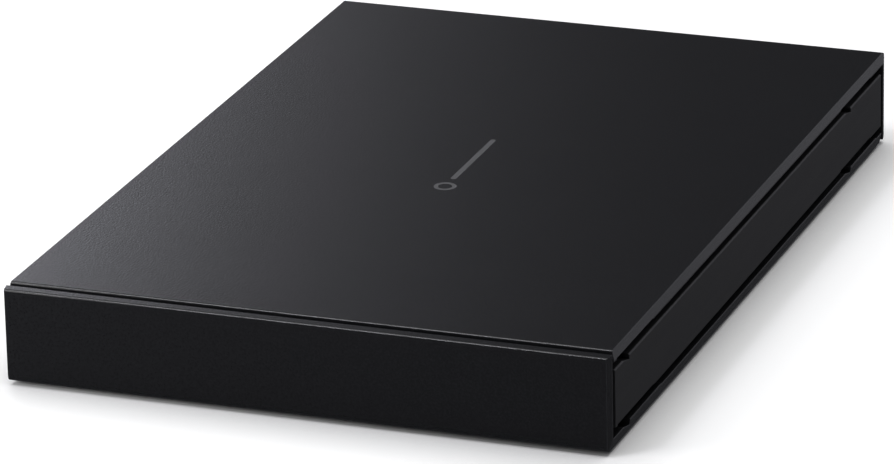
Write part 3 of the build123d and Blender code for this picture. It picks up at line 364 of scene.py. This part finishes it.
spindle_centre = middle("platter_upper")
BRUSHED = (1.0, 0.03, 1.0)
FINISHES = {
    "cover_plastic": textured_cover,
    "frame_plastic": satin_frame,
    "print_ink": pad_print,
    "foot_rubber": rubber,
    "pad_foam": foam,
    "lamp_clear": frosted_clear,
    "board_green": circuit_board,
    "screw_steel": lambda slot: metal(slot, 0.25 * MM, rough=(0.24, 0.36)),
    "socket_steel": lambda slot: metal(slot, 0.10 * MM, BRUSHED, rough=(0.26, 0.4)),
    "socket_nylon": plain_moulding,
    "contact_gold": lambda slot: metal(slot, 0.15 * MM, BRUSHED, rough=(0.2, 0.3)),
    "chip_black": lambda slot: plain_moulding(slot, 0.5, 0.65),
    "part_ceramic": lambda slot: plain_moulding(slot, 0.35, 0.5),
    "lamp_white": glossy_film,
    "cast_aluminium": lambda slot: metal(slot, 0.35 * MM, rough=(0.4, 0.58), depth=0.03),
    "lid_steel": lambda slot: metal(slot, 0.10 * MM, BRUSHED, rough=(0.26, 0.42)),
    "hub_aluminium": lambda slot: turned_metal(slot, spindle_centre, 0.12 * MM, (0.18, 0.32)),
    "magnet_nickel": lambda slot: metal(slot, 0.5 * MM, rough=(0.16, 0.26)),
    "winding_copper": wound_copper,
    "core_steel": lambda slot: metal(slot, 0.12 * MM, (0.05, 0.05, 1.0), rough=(0.4, 0.55)),
    "platter_mirror": lambda slot: turned_metal(slot, spindle_centre, 0.4 * MM, (0.03, 0.06)),
    "spring_steel": lambda slot: metal(slot, 0.2 * MM, rough=(0.22, 0.32)),
    "slider_ceramic": lambda slot: plain_moulding(slot, 0.25, 0.35, level=0.5),
    "ramp_polymer": plain_moulding,
    "flex_amber": glossy_film,
    "filter_white": felt,
}
finished = {slot: make(slot) for slot, make in FINISHES.items()}
for name, piece in NODES.items():
    piece.data.materials.clear()
    piece.data.materials.append(finished[SLOT_OF[name]])


# ---------------------------------------------------------------- studio
FLOOR_HALF = 3.0           # metres
FLOOR_GLOW = 0.42          # the open floor glows enough to read as white, and fades under the case in a painted contact shadow
CONTACT_REACH = 14 * MM    # how far the case's painted contact shadow spreads over the floor


def area_light(name, place, aim, width, height, power):
    """A white rectangular softbox, its power in watts."""
    lamp = bpy.data.lights.new(name, "AREA")
    lamp.shape = "RECTANGLE"
    lamp.size = width
    lamp.size_y = height
    lamp.energy = power
    holder = bpy.data.objects.new(name, lamp)
    holder.location = place
    holder.rotation_euler = (Vector(aim) - Vector(place)).to_track_quat("-Z", "Y").to_euler()
    bpy.context.scene.collection.objects.link(holder)


def studio_floor():
    """A wide pale sweep of card with a very fine tooth, glowing white, with a painted contact shadow
    under the case.
    """
    low, high = -FLOOR_HALF, FLOOR_HALF
    corners = [(low, low, 0), (high, low, 0), (high, high, 0), (low, high, 0)]
    mesh = bpy.data.meshes.new("floor")
    mesh.from_pydata(corners, [], [(0, 1, 2, 3)])
    floor = bpy.data.objects.new("floor", mesh)
    bpy.context.scene.collection.objects.link(floor)
    s = Shader("floor_card")
    tooth = s.noise(0.6 * MM, detail=3.0)
    s.set(Specular_IOR_Level=0.2, Emission_Color=(1.0, 1.0, 1.0, 1.0))
    # Painted contact shadow: the floor's glow is dimmed by ambient occlusion near the case.
    open_sky = s.node("ShaderNodeAmbientOcclusion", samples=8)
    open_sky.inputs["Distance"].default_value = CONTACT_REACH
    glow = s.maths("MULTIPLY", s.maths("POWER", open_sky.outputs["AO"], 2.0), FLOOR_GLOW)
    s.link(glow, s.surface.inputs["Emission Strength"])
    colour = s.mix(tooth, [0.80] * 3, [0.84] * 3)
    floor.data.materials.append(s.finish(colour, s.spread(tooth, 0.7, 0.8)))
    floor.visible_glossy = False


def studio_world(ambient, glows):
    """Even ambient light with soft glows, each a (level, azimuth left of +Y, elevation, sharpness)."""
    world = bpy.data.worlds.new("studio")
    world.use_nodes = True
    tree = world.node_tree
    direction = tree.nodes.new("ShaderNodeTexCoord").outputs["Generated"]

    def maths(operation, source, value):
        node = tree.nodes.new("ShaderNodeMath")
        node.operation = operation
        tree.links.new(source, node.inputs[0])
        if isinstance(value, float):
            node.inputs[1].default_value = value
        elif value:
            tree.links.new(value, node.inputs[1])
        return node.outputs["Value"]

    level = None
    for strength, azimuth, elevation, sharpness in glows:
        turn, lift = radians(azimuth), radians(elevation)
        facing = tree.nodes.new("ShaderNodeVectorMath")
        facing.operation = "DOT_PRODUCT"
        facing.inputs[1].default_value = (-sin(turn) * cos(lift), cos(turn) * cos(lift), sin(lift))
        tree.links.new(direction, facing.inputs[0])
        away = maths("SUBTRACT", facing.outputs["Value"], 1.0)
        falloff = maths("EXPONENT", maths("MULTIPLY", away, sharpness), None)
        level = maths("ADD", maths("MULTIPLY", falloff, strength), level or ambient)
    background = tree.nodes["Background"]
    background.inputs["Color"].default_value = (0.92, 0.92, 1.0, 1.0)
    tree.links.new(level, background.inputs["Strength"])
    bpy.context.scene.world = world


AMBIENT = 0.03
BACK_LEFT_SHEEN = (12.3, 33.4, 15.0, 187.0)     # spreads over the top from its back left corner
BACK_RIGHT_GLOW = (0.92, -23.0, 8.0, 19.0)      # picks out the right side's leaning faces
FRONT_EDGE_GLINT = (60.0, 135.0, 60.0, 900.0)   # catches the rounded edges along the front

VIEW_AZIMUTH = 20.56       # degrees round from looking along +Y
VIEW_ELEVATION = 20.50
VIEW_ROLL = -1.24
VIEW_DISTANCE = 0.7313
AIM_OFFSET = (0.0062, -0.0237, 0.0)   # where the view's middle meets the top, from its centre
LENS = 243.2               # millimetres on a 36 mm sensor


def studio_camera():
    """A long lens from the front right, a little above the case."""
    low, high = cad_bounds
    top_centre = Vector(((low[0] + high[0]) / 2, (low[1] + high[1]) / 2, high[2]))
    target = top_centre + Vector(AIM_OFFSET)
    turn, lift, roll = radians(VIEW_AZIMUTH), radians(VIEW_ELEVATION), radians(VIEW_ROLL)
    forward = Vector((-sin(turn) * cos(lift), cos(turn) * cos(lift), -sin(lift)))
    level = Vector((cos(turn), sin(turn), 0))
    upright = level.cross(forward)
    right = level * cos(roll) + upright * sin(roll)
    up = right.cross(forward)
    camera = bpy.data.cameras.new("camera")
    camera.lens = LENS
    camera.sensor_width = 36.0
    camera.clip_start = 0.01
    holder = bpy.data.objects.new("camera", camera)
    holder.matrix_world = Matrix((right, up, -forward)).transposed().to_4x4()
    holder.location = target - forward * VIEW_DISTANCE
    bpy.context.scene.collection.objects.link(holder)
    bpy.context.scene.camera = holder


studio_floor()
studio_world(AMBIENT, [BACK_LEFT_SHEEN, BACK_RIGHT_GLOW, FRONT_EDGE_GLINT])
area_light("overhead_box", (0.0, 0.0, 1.0), (0.0, 0.0, 0.0), 1.2, 1.2, 9.0)
area_light("front_left_card", (-0.11, -0.15, 0.06), (-0.038, -0.057, 0.006), 0.06, 0.06, 0.10)
studio_camera()
bpy.context.scene.view_settings.view_transform = "Standard"
